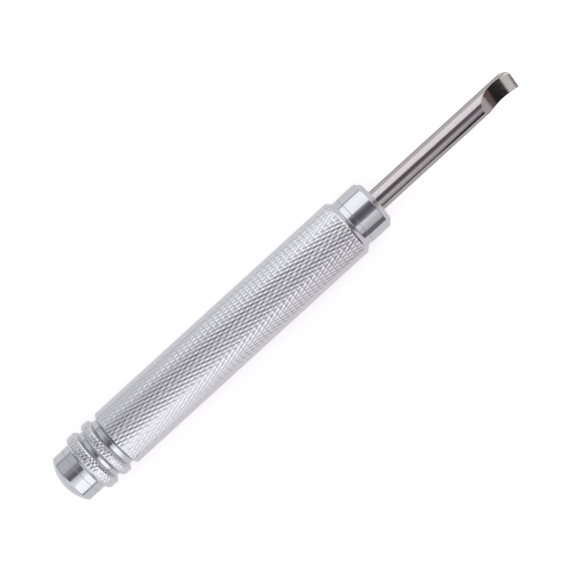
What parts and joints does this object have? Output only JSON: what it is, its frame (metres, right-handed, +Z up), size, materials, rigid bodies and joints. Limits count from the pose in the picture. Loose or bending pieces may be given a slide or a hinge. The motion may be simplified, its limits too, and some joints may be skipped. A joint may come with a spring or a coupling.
{
  "type": "watchmaker screwdriver",
  "caption": "Slim metal hand tool with a diamond-knurled aluminium handle, a free-turning domed head and an exchangeable steel blade with a hollow-ground lever tip.",
  "frame": {"origin": "centre of the object's bounding box in plan, on the surface that the tool lies on", "axes": "+X along the tool towards the blade's tip, +Z up, away from the surface that it lies on"},
  "size_m": [0.109, 0.012, 0.0119],
  "materials": {
    "knurled_aluminium": "bright aluminium with a fine diamond knurl",
    "turned_aluminium": "fine-turned bright aluminium",
    "ground_steel": "drawn rod with a ground tip, fine grain",
    "bearing_steel": "ground bearing steel",
    "black_steel": "black-oxide steel",
    "bearing_brass": "turned brass"
  },
  "bodies": {
    "handle": {"barrel": "knurled_aluminium", "nose_collar": "turned_aluminium", "bearing_bush": "bearing_brass"},
    "head": {"swivel_head": "turned_aluminium", "head_spindle": "bearing_steel", "retaining_clip": "black_steel"},
    "ball": {"thrust_ball": "bearing_steel"},
    "blade": {"blade": "ground_steel"},
    "set_screw": {"blade_screw": "black_steel"}
  },
  "joints": [
    {"name": "head_swivel", "type": "hinge", "parent": "handle", "child": "head", "pos_m": [-0.05031, 0, 0.00595], "axis": [1, 0, 0], "continuous": true},
    {"name": "ball_roll", "type": "hinge", "parent": "handle", "child": "ball", "pos_m": [-0.04126, 0, 0.00595], "axis": [1, 0, 0], "continuous": true},
    {"name": "blade_draw", "type": "slide", "parent": "handle", "child": "blade", "axis": [1, 0, 0], "range_m": [0, 0.02]},
    {"name": "screw_turn", "type": "hinge", "parent": "handle", "child": "set_screw", "pos_m": [0.01847, 0.00292, 0.00221], "axis": [0, 0.6157, -0.788], "range_deg": [0, 450]}
  ],
  "couplings": [
    {"joint": "ball_roll", "follows": "head_swivel", "ratio": 0.5}
  ]
}
